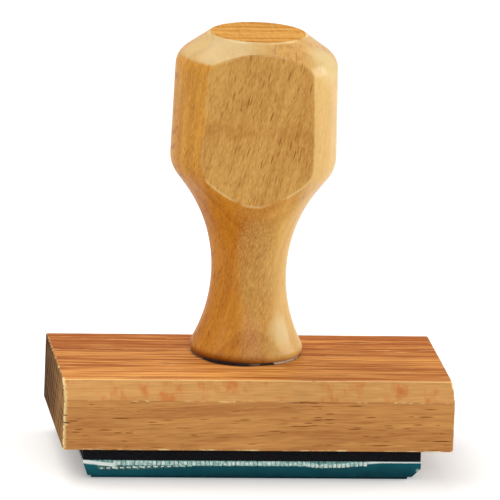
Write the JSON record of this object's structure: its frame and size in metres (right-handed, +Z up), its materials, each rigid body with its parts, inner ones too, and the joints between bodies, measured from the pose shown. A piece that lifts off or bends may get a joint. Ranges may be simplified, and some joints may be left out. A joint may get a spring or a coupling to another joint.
{
  "type": "wooden rubber stamp",
  "caption": "Hand stamp with a turned wooden handle screwed to a planed wooden block, and a sponge-backed rubber printing die under it.",
  "frame": {"origin": "middle of the stamp's footprint, on the printing face that it stands on", "axes": "+Z up along the handle, +X along the block, +Y to the back; the block's sloping edge faces the user at -Y"},
  "size_m": [0.073, 0.038, 0.08],
  "materials": {
    "handle_beech": "satin",
    "block_beech": "satin",
    "wood_glue": "satin",
    "screw_steel": "satin",
    "adhesive_film": "gloss",
    "sponge_rubber": "matte",
    "die_rubber": "satin"
  },
  "bodies": {
    "stamp": {"handle": "handle_beech", "handle_glue": "wood_glue", "wood_screw": "screw_steel", "block": "block_beech", "upper_adhesive": "adhesive_film", "sponge_layer": "sponge_rubber"},
    "print_die": {"lower_adhesive": "adhesive_film", "die": "die_rubber"}
  },
  "joints": [
    {"name": "sponge_press", "type": "slide", "parent": "stamp", "child": "print_die", "axis": [0, 0, 1], "range_m": [0, 0.0006], "stiffness_N_per_m": 50000, "deforming": ["sponge_layer"]}
  ]
}
